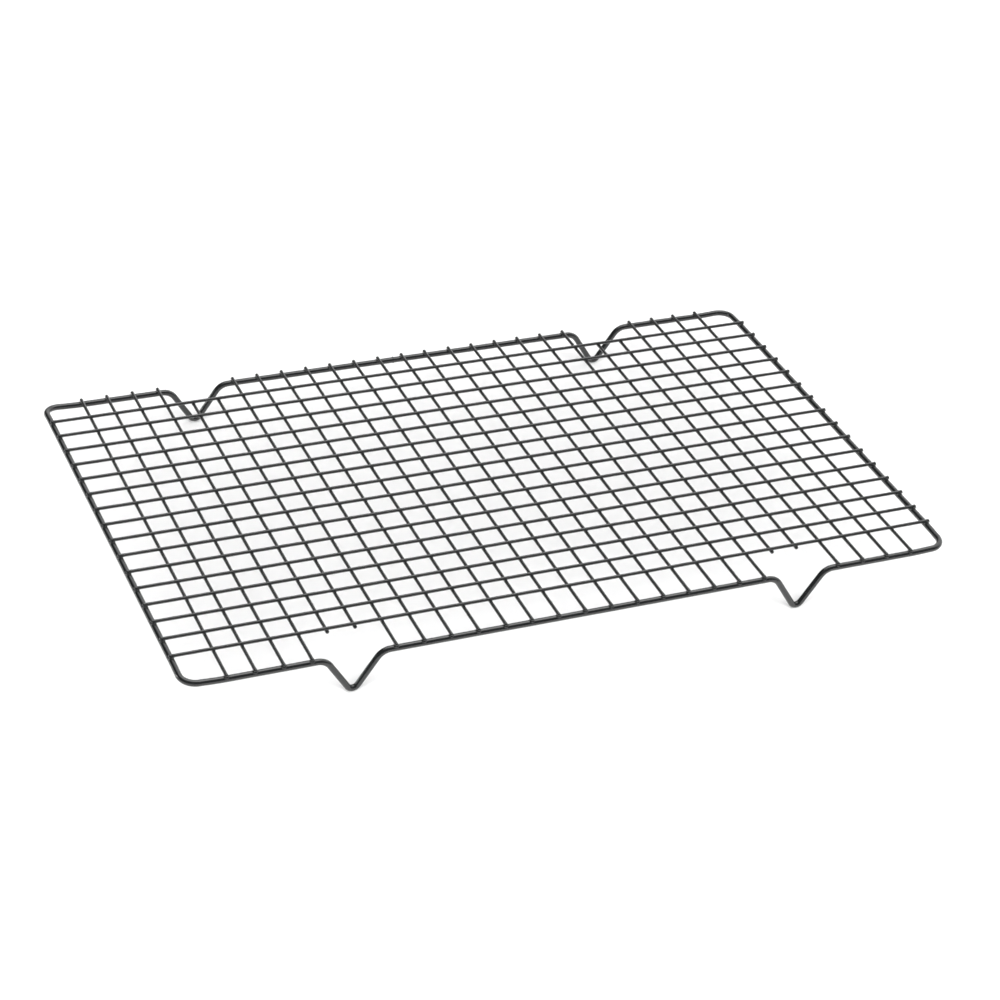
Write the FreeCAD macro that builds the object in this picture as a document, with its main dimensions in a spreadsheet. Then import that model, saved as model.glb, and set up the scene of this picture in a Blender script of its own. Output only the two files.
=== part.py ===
"""Cooling rack: a welded grid of thin steel wires on one bent frame wire with four V feet.

The rack stands on its feet. Z = 0 is the surface under them, X runs along the rack,
Y runs across it, and the origin is under the middle. Lengths are in millimetres.
"""
import FreeCAD, Part
import math
import os

import Sketcher

Vector = FreeCAD.Vector

# Cross wires run from the front to the back, and long wires lie on top of them.
CROSS_WIRES = 27
LONG_WIRES = 16

# The two cross wires beside the middle of each foot stop short of the frame.
SHORT_CROSS_WIRES = (5, 6, 22, 23)

DRIVING_SIZES = (
    ("rack_length", 406.4, "outside length of the frame"),
    ("rack_width", 254.0, "outside width of the frame"),
    ("frame_wire", 3.2, "diameter of the frame wire"),
    ("grid_wire", 1.7, "diameter of the grid wires"),
    ("corner_radius", 7.5, "frame corner, at the middle of the wire"),
    ("end_margin", 20.4, "middle of the frame's short side to the first cross wire"),
    ("side_margin", 19.05, "middle of the frame's long side to the first long wire"),
    ("rise_clearance", 3.0, "outer grid wire to where the frame starts to rise to its short side"),
    ("rise_bend_radius", 60.0, "bends at both ends of that rise, at the middle of the wire"),
    ("foot_drop", 19.0, "how far a foot reaches below the frame, middle to middle"),
    ("foot_tip_radius", 3.1, "bend at the tip of a foot, at the middle of the wire"),
    ("foot_shoulder_radius", 8.0, "bend from the frame into a foot, at the middle of the wire"),
    ("foot_clearance", 2.5, "cross wire beside a foot to the start of the foot's bend"),
    ("weld_set_down", 0.2, "how far a weld lets one wire sink into the next"),
    ("wire_overhang", 1.5, "wire end past the middle of the frame wire"),
    ("stub_overhang", 1.6, "short cross wire's end past the middle of the outer long wire"),
    ("end_rounding", 0.35, "rounding of the cut wire ends"),
    ("seam_offset", 5.0, "butt weld of the frame wire to the middle of the back side"),
    ("seam_bead_radius", 0.4, "half the width of the bead round the butt weld"),
    ("seam_bead_height", 0.25, "how far the bead stands out of the frame wire"),
)

doc = FreeCAD.newDocument("cooling_rack")
sheet = doc.addObject("Spreadsheet::Sheet", "sizes")
for row, (alias, number, meaning) in enumerate(DRIVING_SIZES, start=1):
    sheet.set("A%d" % row, meaning)
    sheet.set("B%d" % row, str(number))
    sheet.setAlias("B%d" % row, alias)
doc.recompute()

# Sizes that follow from the driving ones, as expressions on the sheet.
HALF_LENGTH = "((sizes.rack_length - sizes.frame_wire) / 2)"
HALF_WIDTH = "((sizes.rack_width - sizes.frame_wire) / 2)"
TIP_CENTRE_Z = "(sizes.frame_wire / 2 + sizes.foot_tip_radius)"
FRAME_Z = "(sizes.frame_wire / 2 + sizes.foot_drop)"
CROSS_Z = "(%s + (sizes.frame_wire + sizes.grid_wire) / 2 - sizes.weld_set_down)" % FRAME_Z
LAYER_STEP = "(sizes.grid_wire - sizes.weld_set_down)"
LONG_Z = "(%s + %s)" % (CROSS_Z, LAYER_STEP)

# The short sides of the frame stand higher than the long ones, to reach the upper layer of wires.
SHORT_SIDE_Z = "(%s + %s)" % (FRAME_Z, LAYER_STEP)
OUTER_CROSS_X = "(%s - sizes.end_margin)" % HALF_LENGTH
OUTER_LONG_Y = "(%s - sizes.side_margin)" % HALF_WIDTH
CROSS_PITCH = "(2 * %s / %d)" % (OUTER_CROSS_X, CROSS_WIRES - 1)
LONG_PITCH = "(2 * %s / %d)" % (OUTER_LONG_Y, LONG_WIRES - 1)
MIDDLE_CROSS_WIRE = (CROSS_WIRES + 1) / 2
MIDDLE_LONG_WIRE = (LONG_WIRES + 1) / 2

# A foot fills the gap between the two full cross wires beside it, which are three pitches apart.
FOOT_STEPS = (SHORT_CROSS_WIRES[2] + SHORT_CROSS_WIRES[3]) / 2 - MIDDLE_CROSS_WIRE
FOOT_X = "(%s * %s)" % (FOOT_STEPS, CROSS_PITCH)
FOOT_HALF_SPAN = "(1.5 * %s - sizes.foot_clearance)" % CROSS_PITCH

# Each quarter of the frame is two runs of wire that join halfway between the outer two cross wires.
RUN_JOINT_X = "(%s - %s / 2)" % (OUTER_CROSS_X, CROSS_PITCH)


def measure(expression):
    """The number that an expression gives with the sheet's sizes."""
    return float(sheet.evalExpression(expression.replace("sizes.", "")))


def origin_plane(body, role):
    return next(plane for plane in body.Origin.OriginFeatures if plane.Role == role)


def add_sketch(body, name, role):
    sketch = body.newObject("Sketcher::SketchObject", name)
    sketch.AttachmentSupport = [(origin_plane(body, role), "")]
    sketch.MapMode = "FlatFace"
    return sketch


def dimension(sketch, kind, places, expression):
    """Add one dimension to a sketch and tie it to the sheet."""
    index = sketch.addConstraint(Sketcher.Constraint(kind, *places, measure(expression)))
    sketch.setExpression("Constraints[%d]" % index, expression)


def hold_x(sketch, geometry, point, expression):
    dimension(sketch, "DistanceX", (-1, 1, geometry, point), expression)


def hold_y(sketch, geometry, point, expression):
    dimension(sketch, "DistanceY", (-1, 1, geometry, point), expression)


def add_section(body, name, role, x, y, diameter):
    """The round section of a wire on an origin plane. An x of None puts it on the sketch's Y axis."""
    sketch = add_sketch(body, name, role)
    centre = Vector(measure(x) if x else 0, measure(y), 0)
    circle = sketch.addGeometry(Part.Circle(centre, Vector(0, 0, 1), measure(diameter) / 2))
    if x:
        hold_x(sketch, circle, 3, x)
    else:
        sketch.addConstraint(Sketcher.Constraint("PointOnObject", circle, 3, -2))
    hold_y(sketch, circle, 3, y)
    dimension(sketch, "Diameter", (circle,), diameter)
    return sketch


def round_corners(corners, radii):
    """Ends of the straight runs between rounded corners, and each bend's start, middle and end."""
    ends = [corners[0]]
    bends = []
    for before, corner, after, radius in zip(corners, corners[1:], corners[2:], radii):
        arriving = (corner - before).normalize()
        leaving = (after - corner).normalize()
        half_turn = arriving.getAngle(leaving) / 2
        start = corner - arriving * radius * math.tan(half_turn)
        end = corner + leaving * radius * math.tan(half_turn)
        inward = (leaving - arriving).normalize()
        middle = corner + inward * radius * (1 / math.cos(half_turn) - 1)
        bends.append((start, middle, end))
        ends += [start, end]
    ends.append(corners[-1])
    return ends, bends


def add_path(sketch, corners, radii):
    """Draw lines from corner to corner, with a tangent bend of its own radius at each inner one."""
    ends, bends = round_corners(corners, radii)
    lines = []
    for start, end in zip(ends[0::2], ends[1::2]):
        lines.append(sketch.addGeometry(Part.LineSegment(start, end)))
    arcs = []
    for (start, middle, end), line, next_line in zip(bends, lines, lines[1:]):
        turns_left = (middle - start).cross(end - middle).z > 0
        first, last = (start, end) if turns_left else (end, start)
        near, far = (1, 2) if turns_left else (2, 1)
        arc = sketch.addGeometry(Part.Arc(first, middle, last))
        sketch.addConstraint(Sketcher.Constraint("Tangent", line, 2, arc, near))
        sketch.addConstraint(Sketcher.Constraint("Tangent", arc, far, next_line, 1))
        arcs.append(arc)
    return lines, arcs


def slope_between_bends(run, drop, first_radius, second_radius):
    """Slope of the straight wire between two opposite bends that lose a height over a run."""
    reach = first_radius + second_radius
    rise = reach - drop
    return math.asin(reach / math.hypot(run, rise)) - math.atan2(rise, run)


def foot_path(body):
    """Back long side of the frame, from its middle over one foot to the joint of the two runs."""
    sketch = add_sketch(body, "side_path", "XZ_Plane")
    sketch.setExpression("AttachmentOffset.Base.z", "-%s" % HALF_WIDTH)
    level = measure(FRAME_Z)
    foot_x = measure(FOOT_X)
    span = measure(FOOT_HALF_SPAN)
    drop = measure("foot_drop")
    shoulder = measure("foot_shoulder_radius")
    tip = measure("foot_tip_radius")
    slope = slope_between_bends(span, drop, shoulder, tip)
    half_opening = span - shoulder * math.tan(slope / 2)
    corners = [
        Vector(0, level, 0),
        Vector(foot_x - half_opening, level, 0),
        Vector(foot_x, level - half_opening * math.tan(slope), 0),
        Vector(foot_x + half_opening, level, 0),
        Vector(measure(RUN_JOINT_X), level, 0),
    ]
    lines, arcs = add_path(sketch, corners, [shoulder, tip, shoulder])
    sketch.addConstraint(Sketcher.Constraint("PointOnObject", lines[0], 1, -2))
    sketch.addConstraint(Sketcher.Constraint("Horizontal", lines[0]))
    sketch.addConstraint(Sketcher.Constraint("Horizontal", lines[3]))
    hold_y(sketch, lines[0], 1, FRAME_Z)
    hold_y(sketch, lines[3], 2, FRAME_Z)
    hold_x(sketch, lines[0], 2, "%s - %s" % (FOOT_X, FOOT_HALF_SPAN))
    hold_x(sketch, lines[3], 1, "%s + %s" % (FOOT_X, FOOT_HALF_SPAN))
    hold_x(sketch, lines[3], 2, RUN_JOINT_X)
    hold_x(sketch, arcs[1], 3, FOOT_X)
    hold_y(sketch, arcs[1], 3, TIP_CENTRE_Z)
    dimension(sketch, "Radius", (arcs[0],), "sizes.foot_shoulder_radius")
    dimension(sketch, "Radius", (arcs[1],), "sizes.foot_tip_radius")
    dimension(sketch, "Radius", (arcs[2],), "sizes.foot_shoulder_radius")
    return sketch


def side_run():
    """Back long side of one quarter of the frame, with its foot."""
    body = doc.addObject("PartDesign::Body", "side_run")
    section = add_section(body, "side_section", "YZ_Plane", HALF_WIDTH, FRAME_Z, "sizes.frame_wire")
    pipe = body.newObject("PartDesign::AdditivePipe", "side_with_foot")
    pipe.Profile = section
    pipe.Spine = foot_path(body)
    return body


def corner_run():
    """The rest of the quarter: up and round the corner to the middle of the right short side.

    The wire rises evenly from the outer cross wire, round the corner, to the outer long wire,
    so its path leaves every plane and is made of lines and arcs in space.
    """
    length = measure(HALF_LENGTH)
    width = measure(HALF_WIDTH)
    level = measure(FRAME_Z)
    top = measure(SHORT_SIDE_Z)
    rise_start = measure("%s + sizes.rise_clearance" % OUTER_CROSS_X)
    rise_end = measure("%s + sizes.rise_clearance" % OUTER_LONG_Y)
    side_share = (length - rise_start) / (length - rise_start + width - rise_end)
    corners = [
        Vector(measure(RUN_JOINT_X), width, level),
        Vector(rise_start, width, level),
        Vector(length, width, level + (top - level) * side_share),
        Vector(length, rise_end, top),
        Vector(length, 0, top),
    ]
    rise_radius = measure("rise_bend_radius")
    ends, bends = round_corners(corners, [rise_radius, measure("corner_radius"), rise_radius])
    lines = [Part.makeLine(start, end) for start, end in zip(ends[0::2], ends[1::2])]
    edges = [lines[0]]
    for bend, line in zip(bends, lines[1:]):
        edges += [Part.Arc(*bend).toShape(), line]
    path = doc.addObject("Part::Feature", "corner_path")
    path.Shape = Part.Wire(edges)

    section = doc.addObject("Part::Circle", "corner_section")
    section.setExpression("Radius", "sizes.frame_wire / 2")
    section.Placement = FreeCAD.Placement(Vector(), FreeCAD.Rotation(Vector(0, 1, 0), 90))
    section.setExpression("Placement.Base.x", RUN_JOINT_X)
    section.setExpression("Placement.Base.y", HALF_WIDTH)
    section.setExpression("Placement.Base.z", FRAME_Z)

    sweep = doc.addObject("Part::Sweep", "corner_run")
    sweep.Sections = [section]
    sweep.Spine = path
    sweep.Solid = True
    sweep.Transition = "Right corner"
    return sweep


def mirror_of(source, name, normal):
    mirror = doc.addObject("Part::Mirroring", name)
    mirror.Source = source
    mirror.Normal = normal
    return mirror


def frame_wire():
    """The thick perimeter wire: one closed loop with its four feet bent down from it."""
    quarter = doc.addObject("Part::Fuse", "frame_quarter")
    quarter.Base = side_run()
    quarter.Tool = corner_run()
    left = mirror_of(quarter, "frame_quarter_left", Vector(1, 0, 0))
    front = mirror_of(quarter, "frame_quarter_front", Vector(0, 1, 0))
    front_left = mirror_of(left, "frame_quarter_front_left", Vector(0, 1, 0))

    bead = doc.addObject("Part::Torus", "seam_bead")
    bead.setExpression("Radius2", "sizes.seam_bead_radius")
    bead.setExpression("Radius1", "sizes.frame_wire / 2 + sizes.seam_bead_height - sizes.seam_bead_radius")
    bead.Placement = FreeCAD.Placement(Vector(), FreeCAD.Rotation(Vector(0, 1, 0), 90))
    bead.setExpression("Placement.Base.x", "-sizes.seam_offset")
    bead.setExpression("Placement.Base.y", HALF_WIDTH)
    bead.setExpression("Placement.Base.z", FRAME_Z)

    frame = doc.addObject("Part::MultiFuse", "frame_wire")
    frame.Shapes = [quarter, left, front, front_left, bead]
    frame.Refine = True
    return frame


def straight_wire(name, section_plane, level, half_reach):
    """A straight grid wire with rounded ends, centred on the rack."""
    body = doc.addObject("PartDesign::Body", name + "_blank")
    section = add_section(body, "section", section_plane, None, level, "sizes.grid_wire")
    pad = body.newObject("PartDesign::Pad", "straight")
    pad.Profile = section
    pad.Midplane = True
    pad.setExpression("Length", "2 * (%s)" % half_reach)
    doc.recompute()
    edges = []
    for index, edge in enumerate(pad.Shape.Edges, start=1):
        if isinstance(edge.Curve, Part.Circle):
            edges.append("Edge%d" % index)
    fillet = body.newObject("PartDesign::Fillet", "rounded_ends")
    fillet.Base = (pad, edges)
    fillet.setExpression("Radius", "sizes.end_rounding")
    body.Tip = fillet
    return body


def cross_wire(number, half_reach):
    """A wire from the front to the back."""
    body = straight_wire("cross_wire_%02d" % number, "XZ_Plane", CROSS_Z, half_reach)
    body.setExpression("Placement.Base.x", "%s * %s" % (number - MIDDLE_CROSS_WIRE, CROSS_PITCH))
    return body


def long_wire(number):
    """A wire along the rack, on top of the cross wires and of the frame's short sides."""
    half_reach = "%s + sizes.wire_overhang" % HALF_LENGTH
    body = straight_wire("long_wire_%02d" % number, "YZ_Plane", LONG_Z, half_reach)
    body.setExpression("Placement.Base.y", "%s * %s" % (number - MIDDLE_LONG_WIRE, LONG_PITCH))
    return body


def seat_on(blank, name, supports):
    """Shape the welded seats of a wire: it sinks into the wires under it."""
    seated = doc.addObject("Part::Cut", name)
    seated.Base = blank
    seated.Tool = supports
    return seated


frame = frame_wire()
pieces = [frame]

full_reach = "%s + sizes.wire_overhang" % HALF_WIDTH
short_reach = "%s + sizes.stub_overhang" % OUTER_LONG_Y
for number in range(1, CROSS_WIRES + 1):
    name = "cross_wire_%02d" % number
    if number in SHORT_CROSS_WIRES:
        wire = cross_wire(number, short_reach)
        wire.Label = name
    else:
        wire = seat_on(cross_wire(number, full_reach), name, frame)
    pieces.append(wire)

supports = doc.addObject("Part::Compound", "supports_of_long_wires")
supports.Links = list(pieces)
for number in range(1, LONG_WIRES + 1):
    pieces.append(seat_on(long_wire(number), "long_wire_%02d" % number, supports))

doc.recompute()

for thing in doc.Objects:
    if "Invalid" in thing.State or "Error" in thing.State:
        raise RuntimeError("%s was not built: %s" % (thing.Label, thing.State))
for piece in pieces:
    if piece.Shape.isNull() or not piece.Shape.isValid() or len(piece.Shape.Solids) != 1:
        raise RuntimeError("%s is not one valid solid" % piece.Label)

os.makedirs("parts", exist_ok=True)
for piece in pieces:
    piece.Shape.exportStep(os.path.join("parts", piece.Label + ".step"))
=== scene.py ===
"""The finished look of a wire cooling rack: coated steel wires, welded crossings and a soft studio."""
import math
import random

import bmesh
import bpy
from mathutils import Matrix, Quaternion, Vector, noise


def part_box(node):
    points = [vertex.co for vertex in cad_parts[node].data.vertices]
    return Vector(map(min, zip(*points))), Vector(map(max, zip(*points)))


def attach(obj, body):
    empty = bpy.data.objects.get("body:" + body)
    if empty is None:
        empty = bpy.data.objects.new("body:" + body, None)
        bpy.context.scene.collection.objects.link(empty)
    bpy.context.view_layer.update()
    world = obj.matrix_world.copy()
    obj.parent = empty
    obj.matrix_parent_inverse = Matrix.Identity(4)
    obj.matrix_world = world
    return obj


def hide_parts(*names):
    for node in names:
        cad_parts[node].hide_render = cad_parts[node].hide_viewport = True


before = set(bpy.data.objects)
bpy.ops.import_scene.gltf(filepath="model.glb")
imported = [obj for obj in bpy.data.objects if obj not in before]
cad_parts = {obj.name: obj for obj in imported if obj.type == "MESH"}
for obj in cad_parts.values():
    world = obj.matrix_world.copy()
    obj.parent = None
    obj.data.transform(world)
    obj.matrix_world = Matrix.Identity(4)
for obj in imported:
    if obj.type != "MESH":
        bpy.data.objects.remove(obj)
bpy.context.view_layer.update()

MM = 0.001


# ---- Studio ---------------------------------------------------------------------------------
# A camera with a long lens looks down on the rack from the front left. The rack stands on a
# white table that a wide, even light fills from the front. The coating mirrors a softbox
# overhead, a small one at the left and the bright right-hand side of the room.

VIEW_AZIMUTH = math.radians(25.26)
VIEW_ELEVATION = math.radians(33.12)
VIEW_ROLL = math.radians(5.08)
VIEW_DISTANCE = 1.3882
VIEW_AIM = Vector((-3.0, -24.9, 22.85)) * MM
LENS = 97.83

TABLE_SIZE = 12.0
TABLE_WHITE = (0.9, 0.9, 0.9, 1)
TABLE_ROUGHNESS = 0.9
TABLE_GAP = 0.05 * MM

ROOM_DARK = (0.006, 0.006, 0.0065, 1)
ROOM_BRIGHT = (1.0, 1.0, 1.0, 1)
ROOM_BRIGHT_SIDE = Vector((0.72, 0.47, 0.51))
ROOM_EDGE_START = 0.4
ROOM_EDGE_END = 0.95
ROOM_STRENGTH = 1.45

FRONT_FROM = Vector((-0.6, -1.3, 1.2))
FRONT_SPREAD = math.radians(65)
FRONT_STRENGTH = 5.2


def aim_at(thing, target, roll=0.0):
    """Turn a camera or a lamp so that it looks at a point."""
    direction = target - thing.location
    turn = direction.to_track_quat("-Z", "Y") @ Quaternion((0, 0, 1), roll)
    thing.rotation_mode = "QUATERNION"
    thing.rotation_quaternion = turn


def add_camera():
    """The camera on its long lens."""
    lens = bpy.data.cameras.new("camera")
    lens.lens = LENS
    lens.clip_start = 0.05
    camera = bpy.data.objects.new("camera", lens)
    towards_rack = Vector((
        math.sin(VIEW_AZIMUTH) * math.cos(VIEW_ELEVATION),
        math.cos(VIEW_AZIMUTH) * math.cos(VIEW_ELEVATION),
        -math.sin(VIEW_ELEVATION),
    ))
    camera.location = VIEW_AIM - towards_rack * VIEW_DISTANCE
    aim_at(camera, VIEW_AIM, VIEW_ROLL)
    bpy.context.scene.collection.objects.link(camera)
    bpy.context.scene.camera = camera


def add_front_light():
    """The wide light from the front. It lights the table and isn't mirrored in the coating."""
    lamp = bpy.data.lights.new("front_light", "SUN")
    lamp.energy = FRONT_STRENGTH
    lamp.angle = FRONT_SPREAD
    front_light = bpy.data.objects.new("front_light", lamp)
    front_light.location = FRONT_FROM
    front_light.visible_glossy = False
    aim_at(front_light, Vector((0, 0, 0)))
    bpy.context.scene.collection.objects.link(front_light)


def add_softbox(name, place, width, depth, power):
    """A softbox that is mirrored in the coating and doesn't light the table."""
    lamp = bpy.data.lights.new(name, "AREA")
    lamp.shape = "RECTANGLE"
    lamp.size = width
    lamp.size_y = depth
    lamp.energy = power
    softbox = bpy.data.objects.new(name, lamp)
    softbox.location = place
    softbox.visible_diffuse = False
    aim_at(softbox, Vector((0, 0, 0)))
    bpy.context.scene.collection.objects.link(softbox)


def room_light():
    """Walls that are bright high up on the right, towards the back, and dark elsewhere."""
    world = bpy.data.worlds.new("studio")
    world.use_nodes = True
    bpy.context.scene.world = world
    nodes = world.node_tree.nodes
    links = world.node_tree.links
    where = nodes.new("ShaderNodeTexCoord")
    facing = nodes.new("ShaderNodeVectorMath")
    facing.operation = "DOT_PRODUCT"
    facing.inputs[1].default_value = ROOM_BRIGHT_SIDE.normalized()
    edge = nodes.new("ShaderNodeMapRange")
    edge.interpolation_type = "SMOOTHSTEP"
    edge.inputs["From Min"].default_value = ROOM_EDGE_START
    edge.inputs["From Max"].default_value = ROOM_EDGE_END
    walls = nodes.new("ShaderNodeMix")
    walls.data_type = "RGBA"
    walls.inputs["A"].default_value = ROOM_DARK
    walls.inputs["B"].default_value = ROOM_BRIGHT
    background = nodes["Background"]
    background.inputs["Strength"].default_value = ROOM_STRENGTH
    links.new(where.outputs["Generated"], facing.inputs[0])
    links.new(facing.outputs["Value"], edge.inputs["Value"])
    links.new(edge.outputs["Result"], walls.inputs["Factor"])
    links.new(walls.outputs["Result"], background.inputs["Color"])


def add_table():
    """The white table top under the feet."""
    sheet = bpy.data.meshes.new("table")
    half = TABLE_SIZE / 2
    corners = [(-half, -half, -TABLE_GAP), (half, -half, -TABLE_GAP),
               (half, half, -TABLE_GAP), (-half, half, -TABLE_GAP)]
    sheet.from_pydata(corners, [], [(0, 1, 2, 3)])
    table = bpy.data.objects.new("table", sheet)
    bpy.context.scene.collection.objects.link(table)
    paint = bpy.data.materials.new("table_white")
    paint.use_nodes = True
    surface = paint.node_tree.nodes["Principled BSDF"]
    surface.inputs["Base Color"].default_value = TABLE_WHITE
    surface.inputs["Roughness"].default_value = TABLE_ROUGHNESS
    surface.inputs["Specular IOR Level"].default_value = 0.0
    sheet.materials.append(paint)


add_camera()
room_light()
add_table()
add_front_light()
add_softbox("overhead_softbox", Vector((0.15, 0.35, 1.9)), width=2.0, depth=1.5, power=22.0)
add_softbox("left_softbox", Vector((-1.55, 0.9, 0.27)), width=0.25, depth=0.35, power=4.5)
bpy.context.scene.view_settings.view_transform = "Standard"


# ---- Frame wire -----------------------------------------------------------------------------
# The perimeter is one thick steel wire, bent to a rectangle with four V feet and butt-welded to
# a closed loop. It is dipped in a dark non-stick coating, which dries a little uneven and satin.

FRAME_RADIUS = 1.6 * MM
CORNER_RADIUS = 7.5 * MM
RISE_CLEARANCE = 3.0 * MM
RISE_BEND_RADIUS = 60.0 * MM
FOOT_DROP = 19.0 * MM
FOOT_TIP_RADIUS = 3.1 * MM
FOOT_SHOULDER_RADIUS = 8.0 * MM
FOOT_CLEARANCE = 2.5 * MM
FRAME_SIDES = 28
FRAME_STEP = 2.5 * MM
BEND_STEP = math.radians(6)

# A wire's end, in wire radii: the dome stops just short of a point, and the bead behind it is
# full up to the first distance from the end and gone at the second.
DOME_TOP = 1.0002
BEAD_FULL = 1.2
BEAD_REACH = 2.6

FRAME_COLOUR = (0.0086, 0.0094, 0.0094, 1)
FRAME_ROUGHNESS = 0.19
FRAME_PEEL_DEPTH = 0.02 * MM
COATING_SHINE = 0.78
COATING_MOTTLING = 0.5

# The coating's pattern: orange peel, a finer grain and dust specks, in repeats per metre, and
# broad patches at a share of the peel's scale. A speck fades out between its core and its edge,
# in parts of a repeat. Heights are shares of the peel's own.
PEEL_SCALE = 900.0
GRAIN_SCALE = 5200.0
GRAIN_HEIGHT = 0.22
PATCH_SHARE = 0.12
PATCH_ROUGHNESS = 0.16
SPECK_SCALE = 420.0
SPECK_CORE = 0.05
SPECK_EDGE = 0.09
SPECK_LIGHTER = 0.9
SPECK_ROUGHNESS = 0.2
SPECK_HEIGHT = 0.5

frame_low, frame_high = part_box("frame_wire")
half_length = frame_high.x - FRAME_RADIUS
half_width = -frame_low.y - FRAME_RADIUS
frame_z = frame_low.z + FRAME_RADIUS + FOOT_DROP
short_side_z = frame_high.z - FRAME_RADIUS


def middle_of(node):
    """The middle of a CAD node's box."""
    low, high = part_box(node)
    return (low + high) / 2


cross_names = sorted(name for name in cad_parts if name.startswith("cross_wire_"))
long_names = sorted(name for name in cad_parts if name.startswith("long_wire_"))
cross_pitch = middle_of(cross_names[1]).x - middle_of(cross_names[0]).x
short_names = [name for name in cross_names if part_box(name)[1].y < half_width - FRAME_RADIUS]
foot_x = (middle_of(short_names[-1]).x + middle_of(short_names[-2]).x) / 2
rise_x = middle_of(cross_names[-1]).x + RISE_CLEARANCE
rise_y = middle_of(long_names[-1]).y + RISE_CLEARANCE


def quarter_corners(to_x, to_y):
    """The frame's corners and their bend radii, from one long side's middle to a short side's."""
    span = 1.5 * cross_pitch - FOOT_CLEARANCE
    reach = FOOT_SHOULDER_RADIUS + FOOT_TIP_RADIUS
    rise = reach - FOOT_DROP
    slope = math.asin(reach / math.hypot(span, rise)) - math.atan2(rise, span)
    opening = span - FOOT_SHOULDER_RADIUS * math.tan(slope / 2)
    depth = opening * math.tan(slope)
    side_share = (half_length - rise_x) / (half_length - rise_x + half_width - rise_y)
    corner_z = frame_z + (short_side_z - frame_z) * side_share
    corners = (
        (foot_x - opening, half_width, frame_z, FOOT_SHOULDER_RADIUS),
        (foot_x, half_width, frame_z - depth, FOOT_TIP_RADIUS),
        (foot_x + opening, half_width, frame_z, FOOT_SHOULDER_RADIUS),
        (rise_x, half_width, frame_z, RISE_BEND_RADIUS),
        (half_length, half_width, corner_z, CORNER_RADIUS),
        (half_length, rise_y, short_side_z, RISE_BEND_RADIUS),
    )
    return [(Vector((x * to_x, y * to_y, z)), radius) for x, y, z, radius in corners]


def bend(before, corner, after, radius):
    """Points along the round bend that replaces one corner of a path."""
    arriving = (corner - before).normalized()
    leaving = (after - corner).normalized()
    turn = arriving.angle(leaving)
    start = corner - arriving * radius * math.tan(turn / 2)
    inward = (leaving - arriving * leaving.dot(arriving)).normalized()
    centre = start + inward * radius
    steps = max(2, math.ceil(turn / BEND_STEP))
    angles = [turn * k / steps for k in range(steps + 1)]
    return [
        centre - inward * radius * math.cos(angle) + arriving * radius * math.sin(angle)
        for angle in angles
    ]


def fill_straights(points, step, closed=False):
    """Add points so that no two neighbours are further apart than a step."""
    filled = []
    pairs = list(zip(points, points[1:]))
    if closed:
        pairs.append((points[-1], points[0]))
    for start, end in pairs:
        parts = max(1, math.ceil((end - start).length / step))
        filled += [start.lerp(end, k / parts) for k in range(parts)]
    if not closed:
        filled.append(points[-1])
    return filled


def frame_path():
    """The middle of the frame wire, as a closed loop."""
    corners = quarter_corners(1, -1) + quarter_corners(1, 1)[::-1]
    corners += quarter_corners(-1, 1) + quarter_corners(-1, -1)[::-1]
    points = []
    for index, (corner, radius) in enumerate(corners):
        before = corners[index - 1][0]
        after = corners[(index + 1) % len(corners)][0]
        points += bend(before, corner, after, radius)
    return fill_straights(points, FRAME_STEP, closed=True)


def path_object(name, points, closed=False):
    """A chain of edges that a geometry tree turns into a wire."""
    count = len(points)
    edges = [(k, k + 1) for k in range(count - 1)]
    if closed:
        edges.append((count - 1, 0))
    chain = bpy.data.meshes.new(name)
    chain.from_pydata(points, edges, [])
    thing = bpy.data.objects.new(name, chain)
    bpy.context.scene.collection.objects.link(thing)
    return thing


def new_tree(name, inputs):
    """An empty geometry tree with a geometry input and output and named sizes."""
    tree = bpy.data.node_groups.new(name, "GeometryNodeTree")
    tree.interface.new_socket("Geometry", in_out="INPUT", socket_type="NodeSocketGeometry")
    for label, kind in inputs:
        tree.interface.new_socket(label, in_out="INPUT", socket_type=kind)
    tree.interface.new_socket("Geometry", in_out="OUTPUT", socket_type="NodeSocketGeometry")
    return tree, tree.nodes.new("NodeGroupInput"), tree.nodes.new("NodeGroupOutput")


def sum_of(tree, operation, *terms):
    """A math node whose inputs are numbers or other nodes' outputs."""
    node = tree.nodes.new("ShaderNodeMath")
    node.operation = operation
    for socket, term in zip(node.inputs, terms):
        if isinstance(term, (int, float)):
            socket.default_value = term
        else:
            tree.links.new(term, socket)
    return node.outputs[0]


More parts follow.
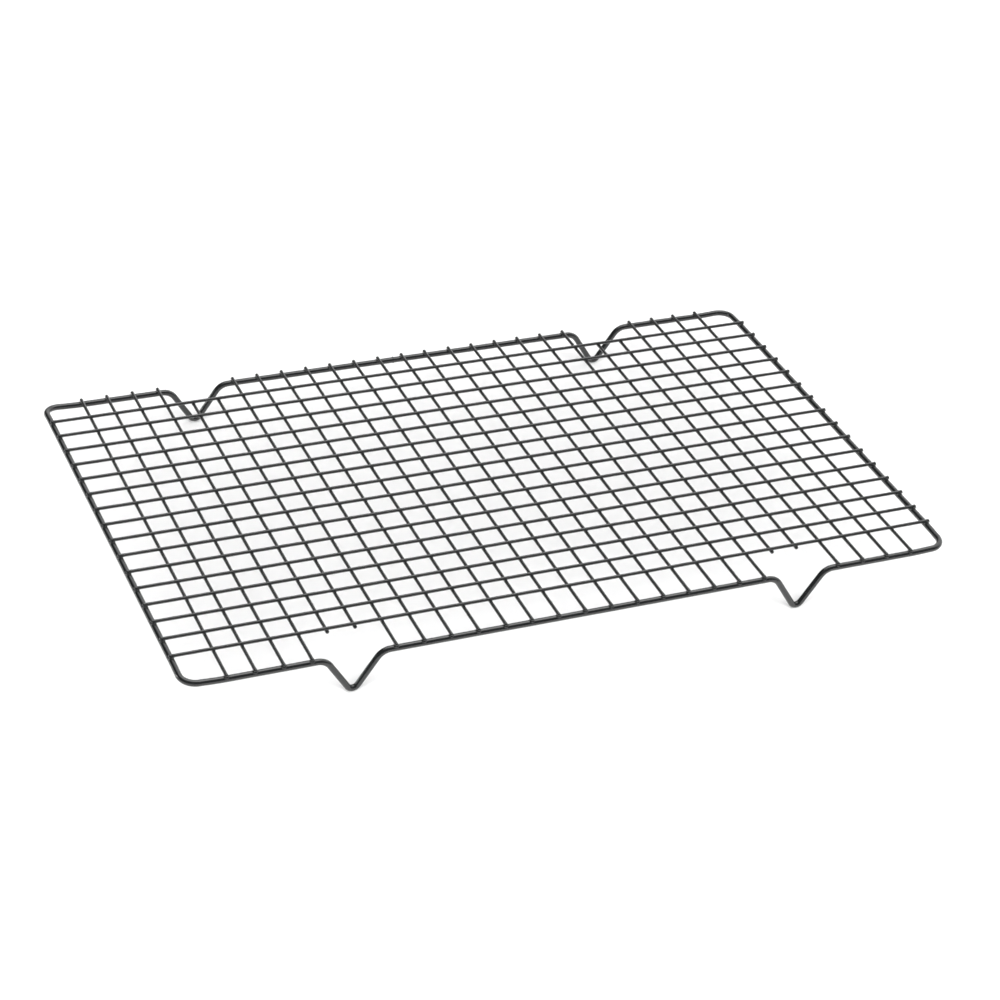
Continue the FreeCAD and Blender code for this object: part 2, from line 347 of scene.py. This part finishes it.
def coated_wire_tree():
    """Sweep a round wire along a chain of edges, with domed ends and a slightly uneven coat."""
    tree, sizes, result = new_tree("coated_wire", (
        ("Radius", "NodeSocketFloat"),
        ("Sides", "NodeSocketInt"),
        ("Unevenness", "NodeSocketFloat"),
        ("Ripple Scale", "NodeSocketFloat"),
        ("End Bead", "NodeSocketFloat"),
        ("Seed", "NodeSocketFloat"),
        ("Coating", "NodeSocketMaterial"),
    ))
    links = tree.links
    radius = sizes.outputs["Radius"]

    to_curve = tree.nodes.new("GeometryNodeMeshToCurve")
    links.new(sizes.outputs["Geometry"], to_curve.inputs["Mesh"])

    place = tree.nodes.new("GeometryNodeInputPosition")
    ripple = tree.nodes.new("ShaderNodeTexNoise")
    ripple.noise_dimensions = "4D"
    ripple.inputs["Detail"].default_value = 1.0
    links.new(place.outputs["Position"], ripple.inputs["Vector"])
    links.new(sizes.outputs["Ripple Scale"], ripple.inputs["Scale"])
    links.new(sizes.outputs["Seed"], ripple.inputs["W"])
    swing = sum_of(tree, "SUBTRACT", ripple.outputs["Fac"], 0.5)
    swell = sum_of(tree, "MULTIPLY_ADD", swing, sizes.outputs["Unevenness"], 1.0)

    along = tree.nodes.new("GeometryNodeSplineParameter")
    whole = tree.nodes.new("GeometryNodeSplineLength")
    from_far_end = sum_of(tree, "SUBTRACT", whole.outputs["Length"], along.outputs["Length"])
    from_end = sum_of(tree, "MINIMUM", along.outputs["Length"], from_far_end)
    radii_in = sum_of(tree, "DIVIDE", from_end, radius)
    short_of_dome = sum_of(tree, "MAXIMUM", sum_of(tree, "SUBTRACT", 1.0, radii_in), 0.0)
    squared = sum_of(tree, "POWER", short_of_dome, 2.0)
    dome = sum_of(tree, "SQRT", sum_of(tree, "SUBTRACT", DOME_TOP, squared))
    bead = tree.nodes.new("ShaderNodeMapRange")
    bead.interpolation_type = "SMOOTHSTEP"
    bead.inputs["From Min"].default_value = BEAD_FULL
    bead.inputs["From Max"].default_value = BEAD_REACH
    bead.inputs["To Max"].default_value = 0.0
    links.new(radii_in, bead.inputs["Value"])
    links.new(sizes.outputs["End Bead"], bead.inputs["To Min"])
    end_shape = sum_of(tree, "MULTIPLY", dome, sum_of(tree, "ADD", bead.outputs["Result"], 1.0))

    closed = tree.nodes.new("GeometryNodeInputSplineCyclic")
    ends = tree.nodes.new("GeometryNodeSwitch")
    ends.input_type = "FLOAT"
    ends.inputs["True"].default_value = 1.0
    links.new(closed.outputs["Cyclic"], ends.inputs["Switch"])
    links.new(end_shape, ends.inputs["False"])

    outline = tree.nodes.new("GeometryNodeCurvePrimitiveCircle")
    links.new(sizes.outputs["Sides"], outline.inputs["Resolution"])
    links.new(radius, outline.inputs["Radius"])
    sweep = tree.nodes.new("GeometryNodeCurveToMesh")
    sweep.inputs["Fill Caps"].default_value = True
    links.new(to_curve.outputs["Curve"], sweep.inputs["Curve"])
    links.new(outline.outputs["Curve"], sweep.inputs["Profile Curve"])
    links.new(sum_of(tree, "MULTIPLY", swell, ends.outputs["Output"]), sweep.inputs["Scale"])

    real = tree.nodes.new("GeometryNodeRealizeInstances")
    coat = tree.nodes.new("GeometryNodeSetMaterial")
    links.new(sweep.outputs["Mesh"], real.inputs["Geometry"])
    links.new(real.outputs["Geometry"], coat.inputs["Geometry"])
    links.new(sizes.outputs["Coating"], coat.inputs["Material"])
    links.new(coat.outputs["Geometry"], result.inputs["Geometry"])
    return tree


def add_tree(thing, tree, values):
    """Put a geometry tree on an object."""
    modifier = thing.modifiers.new(tree.name, "NODES")
    modifier.node_group = tree
    for socket in tree.interface.items_tree:
        if socket.in_out == "INPUT" and socket.name in values:
            modifier[socket.identifier] = values[socket.name]


def run_trees(things):
    """Keep the plain smooth mesh that each object's geometry tree makes."""
    shaped = bpy.context.evaluated_depsgraph_get()
    meshes = [bpy.data.meshes.new_from_object(thing.evaluated_get(shaped)) for thing in things]
    for thing, mesh in zip(things, meshes):
        thing.modifiers.clear()
        thing.data = mesh
        mesh.shade_smooth()


def coating_group():
    """Baked non-stick coating: faint mottling, orange peel, fine grain and a few dust specks."""
    group = bpy.data.node_groups.new("baked_coating", "ShaderNodeTree")
    for label, kind in (
        ("Colour", "NodeSocketColor"),
        ("Mottling", "NodeSocketFloat"),
        ("Base Roughness", "NodeSocketFloat"),
        ("Peel Scale", "NodeSocketFloat"),
        ("Grain Scale", "NodeSocketFloat"),
    ):
        group.interface.new_socket(label, in_out="INPUT", socket_type=kind)
    for label, kind in (
        ("Colour", "NodeSocketColor"),
        ("Roughness", "NodeSocketFloat"),
        ("Height", "NodeSocketFloat"),
    ):
        group.interface.new_socket(label, in_out="OUTPUT", socket_type=kind)
    values = group.nodes.new("NodeGroupInput")
    result = group.nodes.new("NodeGroupOutput")
    links = group.links
    where = group.nodes.new("ShaderNodeTexCoord")

    def noise_at(scale, detail):
        texture = group.nodes.new("ShaderNodeTexNoise")
        texture.inputs["Detail"].default_value = detail
        links.new(where.outputs["Object"], texture.inputs["Vector"])
        links.new(scale, texture.inputs["Scale"])
        return texture.outputs["Fac"]

    peel = noise_at(values.outputs["Peel Scale"], 2.0)
    grain = noise_at(values.outputs["Grain Scale"], 3.0)
    patches = noise_at(sum_of(group, "MULTIPLY", values.outputs["Peel Scale"], PATCH_SHARE), 2.0)

    specks = group.nodes.new("ShaderNodeTexVoronoi")
    specks.inputs["Scale"].default_value = SPECK_SCALE
    links.new(where.outputs["Object"], specks.inputs["Vector"])
    speck = group.nodes.new("ShaderNodeMapRange")
    speck.inputs["From Min"].default_value = SPECK_CORE
    speck.inputs["From Max"].default_value = SPECK_EDGE
    speck.inputs["To Min"].default_value = 1.0
    speck.inputs["To Max"].default_value = 0.0
    links.new(specks.outputs["Distance"], speck.inputs["Value"])

    shade = sum_of(group, "SUBTRACT", sum_of(group, "ADD", patches, grain), 1.0)
    tone = sum_of(group, "MULTIPLY_ADD", shade, values.outputs["Mottling"], 1.0)
    tone = sum_of(group, "MULTIPLY_ADD", speck.outputs["Result"], SPECK_LIGHTER, tone)
    tint = group.nodes.new("ShaderNodeVectorMath")
    tint.operation = "SCALE"
    links.new(values.outputs["Colour"], tint.inputs[0])
    links.new(tone, tint.inputs["Scale"])
    links.new(tint.outputs["Vector"], result.inputs["Colour"])

    rough = sum_of(group, "MULTIPLY_ADD", sum_of(group, "SUBTRACT", patches, 0.5), PATCH_ROUGHNESS,
                   values.outputs["Base Roughness"])
    rough = sum_of(group, "MULTIPLY_ADD", speck.outputs["Result"], SPECK_ROUGHNESS, rough)
    links.new(rough, result.inputs["Roughness"])
    height = sum_of(group, "MULTIPLY_ADD", grain, GRAIN_HEIGHT, peel)
    height = sum_of(group, "MULTIPLY_ADD", speck.outputs["Result"], SPECK_HEIGHT, height)
    links.new(height, result.inputs["Height"])
    return group


def coating_material(name, colour, roughness, peel_depth):
    """One wire's coating. The steel never shows, so it isn't metallic."""
    material = bpy.data.materials.new(name)
    material.use_nodes = True
    nodes = material.node_tree.nodes
    links = material.node_tree.links
    surface = nodes["Principled BSDF"]
    coat = nodes.new("ShaderNodeGroup")
    coat.node_tree = baked_coating
    coat.inputs["Colour"].default_value = colour
    coat.inputs["Mottling"].default_value = COATING_MOTTLING
    coat.inputs["Base Roughness"].default_value = roughness
    coat.inputs["Peel Scale"].default_value = PEEL_SCALE
    coat.inputs["Grain Scale"].default_value = GRAIN_SCALE
    relief = nodes.new("ShaderNodeBump")
    relief.inputs["Distance"].default_value = peel_depth
    surface.inputs["Specular IOR Level"].default_value = COATING_SHINE
    links.new(coat.outputs["Colour"], surface.inputs["Base Color"])
    links.new(coat.outputs["Roughness"], surface.inputs["Roughness"])
    links.new(coat.outputs["Height"], relief.inputs["Height"])
    links.new(relief.outputs["Normal"], surface.inputs["Normal"])
    return material


coated_wire = coated_wire_tree()
baked_coating = coating_group()
frame_coating = coating_material("frame_coating", FRAME_COLOUR, FRAME_ROUGHNESS, FRAME_PEEL_DEPTH)

frame_piece = path_object("bent_frame_wire", frame_path(), closed=True)
add_tree(frame_piece, coated_wire, {
    "Radius": FRAME_RADIUS,
    "Sides": FRAME_SIDES,
    "Unevenness": 0.05,
    "Ripple Scale": 160.0,
    "Seed": 3.0,
    "Coating": frame_coating,
})
run_trees([frame_piece])
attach(frame_piece, "root")
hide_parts("frame_wire")


# ---- Butt weld of the frame -----------------------------------------------------------------
# The two ends of the frame wire meet on the back side. The weld leaves a low ring of upset
# metal, ground back a little and coated over, so its outline is lumpy.

SEAM_X = -5.0 * MM
SEAM_RING_RADIUS = 1.43 * MM
SEAM_BEAD_RADIUS = 0.42 * MM
SEAM_LUMPS = 0.07 * MM
SEAM_LUMP_SCALE = 1.7
SEAM_LUMP_START = Vector((4.0, 0, 0))
SEAM_STEPS_AROUND = 40
SEAM_STEPS_ACROSS = 10


def seam_bead():
    """A lumpy ring round the frame wire."""
    around = SEAM_STEPS_AROUND
    across = SEAM_STEPS_ACROSS
    points = []
    for k in range(around):
        turn = 2 * math.pi * k / around
        outward = Vector((0, math.cos(turn), math.sin(turn)))
        lump = noise.noise(outward * SEAM_LUMP_SCALE + SEAM_LUMP_START) * SEAM_LUMPS
        for n in range(across):
            angle = 2 * math.pi * n / across
            out = SEAM_RING_RADIUS + (SEAM_BEAD_RADIUS + lump) * math.cos(angle)
            aside = SEAM_BEAD_RADIUS * math.sin(angle) + lump
            points.append(Vector((SEAM_X + aside, half_width, frame_z)) + outward * out)
    faces = []
    for k in range(around):
        for n in range(across):
            next_k = (k + 1) % around
            next_n = (n + 1) % across
            ring = k * across
            next_ring = next_k * across
            faces.append((ring + n, ring + next_n, next_ring + next_n, next_ring + n))
    return points, faces


def closed_mesh(name, points, faces):
    """A mesh whose faces are turned outwards."""
    mesh = bpy.data.meshes.new(name)
    mesh.from_pydata(points, [], faces)
    shape = bmesh.new()
    shape.from_mesh(mesh)
    bmesh.ops.recalc_face_normals(shape, faces=shape.faces)
    shape.to_mesh(mesh)
    shape.free()
    return mesh


def add_piece(name, points, faces, material):
    """A smooth mesh piece."""
    mesh = closed_mesh(name, points, faces)
    mesh.shade_smooth()
    mesh.materials.append(material)
    piece = bpy.data.objects.new(name, mesh)
    bpy.context.scene.collection.objects.link(piece)
    return piece


seam_piece = add_piece("frame_butt_weld", *seam_bead(), frame_coating)
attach(seam_piece, "root")


# ---- Cross wires ----------------------------------------------------------------------------
# Thin wires from front to back, cut to length and welded on top of the frame's long sides. The
# ones over the feet are cut short. Each end is a small rounded bead of coating over the cut.

GRID_RADIUS = 0.85 * MM
GRID_SIDES = 18
GRID_STEP = 3.0 * MM

# A wire stands beside its true line by a shift, a long bow and a short ripple, each a share of
# the drift. The lengths are travel per radian of the wave.
GRID_DRIFT = 0.16 * MM
DRIFT_SHIFT = 0.6
DRIFT_BOW = 0.7
DRIFT_BOW_LENGTH = 70 * MM
DRIFT_RIPPLE = 0.35
DRIFT_RIPPLE_LENGTH = 23 * MM

GRID_COLOUR = (0.0096, 0.0104, 0.0104, 1)
GRID_ROUGHNESS = 0.22
GRID_PEEL_DEPTH = 0.015 * MM
DOME_STEPS = 6

grid_coating = coating_material("grid_coating", GRID_COLOUR, GRID_ROUGHNESS, GRID_PEEL_DEPTH)


def drift(name, travel):
    """How far a welded wire stands beside its true line, a smooth bow of its own."""
    chance = random.Random(name)
    shift = chance.uniform(-DRIFT_SHIFT, DRIFT_SHIFT)
    bow_height = chance.uniform(-DRIFT_BOW, DRIFT_BOW)
    bow_start = chance.uniform(0, 2 * math.pi)
    ripple_start = chance.uniform(0, 2 * math.pi)
    bow = bow_height * math.sin(travel / DRIFT_BOW_LENGTH + bow_start)
    ripple = DRIFT_RIPPLE * math.sin(travel / DRIFT_RIPPLE_LENGTH + ripple_start)
    return GRID_DRIFT * (shift + bow + ripple)


def travel_stops(end):
    """Places along a straight wire from end to end, close together where its ends are domed."""
    turns = [k * math.pi / 2 / DOME_STEPS for k in range(DOME_STEPS + 1)]
    dome = [end - GRID_RADIUS * (1 - math.cos(turn)) for turn in turns]
    reach = dome[-1]
    parts = math.ceil(2 * reach / GRID_STEP)
    middle = [-reach + 2 * reach * k / parts for k in range(1, parts)]
    return [-place for place in dome] + middle + dome[::-1]


def add_grid_wire(node, points, seed):
    """A grid wire that is still to be swept along its points."""
    piece = path_object("coated_" + node, points)
    add_tree(piece, coated_wire, {
        "Radius": GRID_RADIUS,
        "Sides": GRID_SIDES,
        "Unevenness": 0.09,
        "Ripple Scale": 230.0,
        "End Bead": 0.14,
        "Seed": float(seed),
        "Coating": grid_coating,
    })
    return piece


def finish_grid_wires(nodes, pieces):
    """Sweep a layer of grid wires and let each stand for its CAD node."""
    run_trees(pieces)
    for node, piece in zip(nodes, pieces):
        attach(piece, "root")
        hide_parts(node)


def cross_wire_x(node, y):
    """Where a cross wire's middle is, at one place along it."""
    return middle_of(node).x + drift(node, y)


cross_pieces = []
for seed, node in enumerate(cross_names):
    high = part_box(node)[1]
    stops = travel_stops(high.y)
    points = [Vector((cross_wire_x(node, y), y, high.z - GRID_RADIUS)) for y in stops]
    cross_pieces.append(add_grid_wire(node, points, seed))
finish_grid_wires(cross_names, cross_pieces)


# ---- Long wires -----------------------------------------------------------------------------
# Thin straight wires along the rack, welded on top of the cross wires and of the frame's short
# sides, which are raised by one layer to meet them. Their ends reach the frame's outer edge.


def long_wire_y(node, x):
    """Where a long wire's middle is, at one place along it."""
    return middle_of(node).y + drift(node, x)


long_pieces = []
for seed, node in enumerate(long_names, start=len(cross_names)):
    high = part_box(node)[1]
    stops = travel_stops(high.x)
    points = [Vector((x, long_wire_y(node, x), high.z - GRID_RADIUS)) for x in stops]
    long_pieces.append(add_grid_wire(node, points, seed))
finish_grid_wires(long_names, long_pieces)


# ---- Welded crossings -----------------------------------------------------------------------
# Where two wires are welded, metal and coating fill the corner between them. The fill is a
# small waisted collar that runs out smoothly on both wires.

GRID_POOL = 0.5 * MM
FRAME_POOL = 0.75 * MM
POOL_SIDES = 16
POOL_ROWS = (-1.0, -0.5, 0.0, 0.5, 1.0)
POOL_SEED = 11
SMALLEST_POOL = 0.97
LARGEST_POOL = 1.06


def pool_point(turn, lean, lower_radius, upper_radius, gap, pool):
    """A point on the smooth blend of two crossed wires: the upper along X, the lower along Y.

    lean goes from -1, where the blend meets the upper wire, to 1, where it meets the lower.
    """
    lift = pool * (1 - abs(lean)) ** 2 / 4
    off_upper = upper_radius + lift + max(lean, 0) * pool
    off_lower = lower_radius + lift + max(-lean, 0) * pool
    spread = -math.cos(2 * turn)
    squares = off_upper ** 2 - off_lower ** 2
    total = off_upper ** 2 + off_lower ** 2
    a = spread ** 2 / (2 * gap ** 2)
    b = 1 - spread * squares / gap ** 2
    c = squares ** 2 / (2 * gap ** 2) + gap ** 2 / 2 - total
    # On the diagonals between the wires the squared term vanishes.
    if a > 1e-9 / gap ** 2:
        out_squared = (-b + math.sqrt(b * b - 4 * a * c)) / (2 * a)
    else:
        out_squared = -c / b
    height = (spread * out_squared - squares) / (2 * gap)
    out = math.sqrt(out_squared)
    return Vector((out * math.cos(turn), out * math.sin(turn), height))


def pool_template(name, lower_radius, upper_radius, gap, pool):
    """One weld's collar, centred halfway between the two wires."""
    points = []
    for lean in POOL_ROWS:
        for k in range(POOL_SIDES):
            turn = 2 * math.pi * k / POOL_SIDES
            points.append(pool_point(turn, lean, lower_radius, upper_radius, gap, pool))
    faces = []
    for row in range(len(POOL_ROWS) - 1):
        for k in range(POOL_SIDES):
            after = (k + 1) % POOL_SIDES
            first = row * POOL_SIDES
            second = first + POOL_SIDES
            faces.append((first + k, first + after, second + after, second + k))
    last = len(points) - POOL_SIDES
    faces.append(tuple(range(POOL_SIDES)))
    faces.append(tuple(range(last, len(points))))
    return bpy.data.objects.new(name, closed_mesh(name, points, faces))


def weld_tree():
    """Put one collar, a little larger or smaller, on every point."""
    tree, sizes, result = new_tree("weld_pools", (
        ("Collar", "NodeSocketObject"),
        ("Quarter Turn", "NodeSocketFloat"),
        ("Smallest", "NodeSocketFloat"),
        ("Largest", "NodeSocketFloat"),
        ("Coating", "NodeSocketMaterial"),
    ))
    links = tree.links
    to_points = tree.nodes.new("GeometryNodeMeshToPoints")
    links.new(sizes.outputs["Geometry"], to_points.inputs["Mesh"])
    collar = tree.nodes.new("GeometryNodeObjectInfo")
    links.new(sizes.outputs["Collar"], collar.inputs["Object"])
    turn = tree.nodes.new("ShaderNodeCombineXYZ")
    links.new(sum_of(tree, "MULTIPLY", sizes.outputs["Quarter Turn"], math.pi / 2), turn.inputs["Z"])
    chance = tree.nodes.new("FunctionNodeRandomValue")
    chance.inputs["Seed"].default_value = POOL_SEED
    links.new(sizes.outputs["Smallest"], chance.inputs[2])
    links.new(sizes.outputs["Largest"], chance.inputs[3])
    scatter = tree.nodes.new("GeometryNodeInstanceOnPoints")
    links.new(to_points.outputs["Points"], scatter.inputs["Points"])
    links.new(collar.outputs["Geometry"], scatter.inputs["Instance"])
    links.new(turn.outputs["Vector"], scatter.inputs["Rotation"])
    links.new(chance.outputs[1], scatter.inputs["Scale"])
    real = tree.nodes.new("GeometryNodeRealizeInstances")
    coat = tree.nodes.new("GeometryNodeSetMaterial")
    links.new(scatter.outputs["Instances"], real.inputs["Geometry"])
    links.new(real.outputs["Geometry"], coat.inputs["Geometry"])
    links.new(sizes.outputs["Coating"], coat.inputs["Material"])
    links.new(coat.outputs["Geometry"], result.inputs["Geometry"])
    return tree


weld_pools = weld_tree()


def add_welds(name, places, lower, upper, pool, quarter_turn):
    """Weld collars at all the places where one kind of wire lies on another.

    lower and upper are the wires' radii and the heights of their middles.
    """
    lower_radius, lower_z = lower
    upper_radius, upper_z = upper
    collar = pool_template(name + "_collar", lower_radius, upper_radius, upper_z - lower_z, pool)
    height = (lower_z + upper_z) / 2
    dots = bpy.data.meshes.new(name)
    dots.from_pydata([Vector((x, y, height)) for x, y in places], [], [])
    piece = bpy.data.objects.new(name, dots)
    bpy.context.scene.collection.objects.link(piece)
    add_tree(piece, weld_pools, {
        "Collar": collar,
        "Quarter Turn": quarter_turn,
        "Smallest": SMALLEST_POOL,
        "Largest": LARGEST_POOL,
        "Coating": grid_coating,
    })
    run_trees([piece])
    bpy.data.objects.remove(collar)
    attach(piece, "root")


def crossing(cross_node, long_node):
    """Where a long wire crosses a cross wire, seen from above."""
    x = cross_wire_x(cross_node, middle_of(long_node).y)
    return x, long_wire_y(long_node, x)


long_side_line = (FRAME_RADIUS, frame_z)
short_side_line = (FRAME_RADIUS, short_side_z)
cross_line = (GRID_RADIUS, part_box(cross_names[0])[1].z - GRID_RADIUS)
long_line = (GRID_RADIUS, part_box(long_names[0])[1].z - GRID_RADIUS)

crossings = [crossing(cross_node, long_node) for cross_node in cross_names for long_node in long_names]
add_welds("grid_welds", crossings, cross_line, long_line, GRID_POOL, 0.0)

full_names = [name for name in cross_names if name not in short_names]
side_places = [(cross_wire_x(name, y), y) for name in full_names for y in (-half_width, half_width)]
add_welds("long_side_welds", side_places, long_side_line, cross_line, FRAME_POOL, 1.0)

end_places = [(x, long_wire_y(name, x)) for name in long_names for x in (-half_length, half_length)]
add_welds("short_side_welds", end_places, short_side_line, long_line, FRAME_POOL, 0.0)
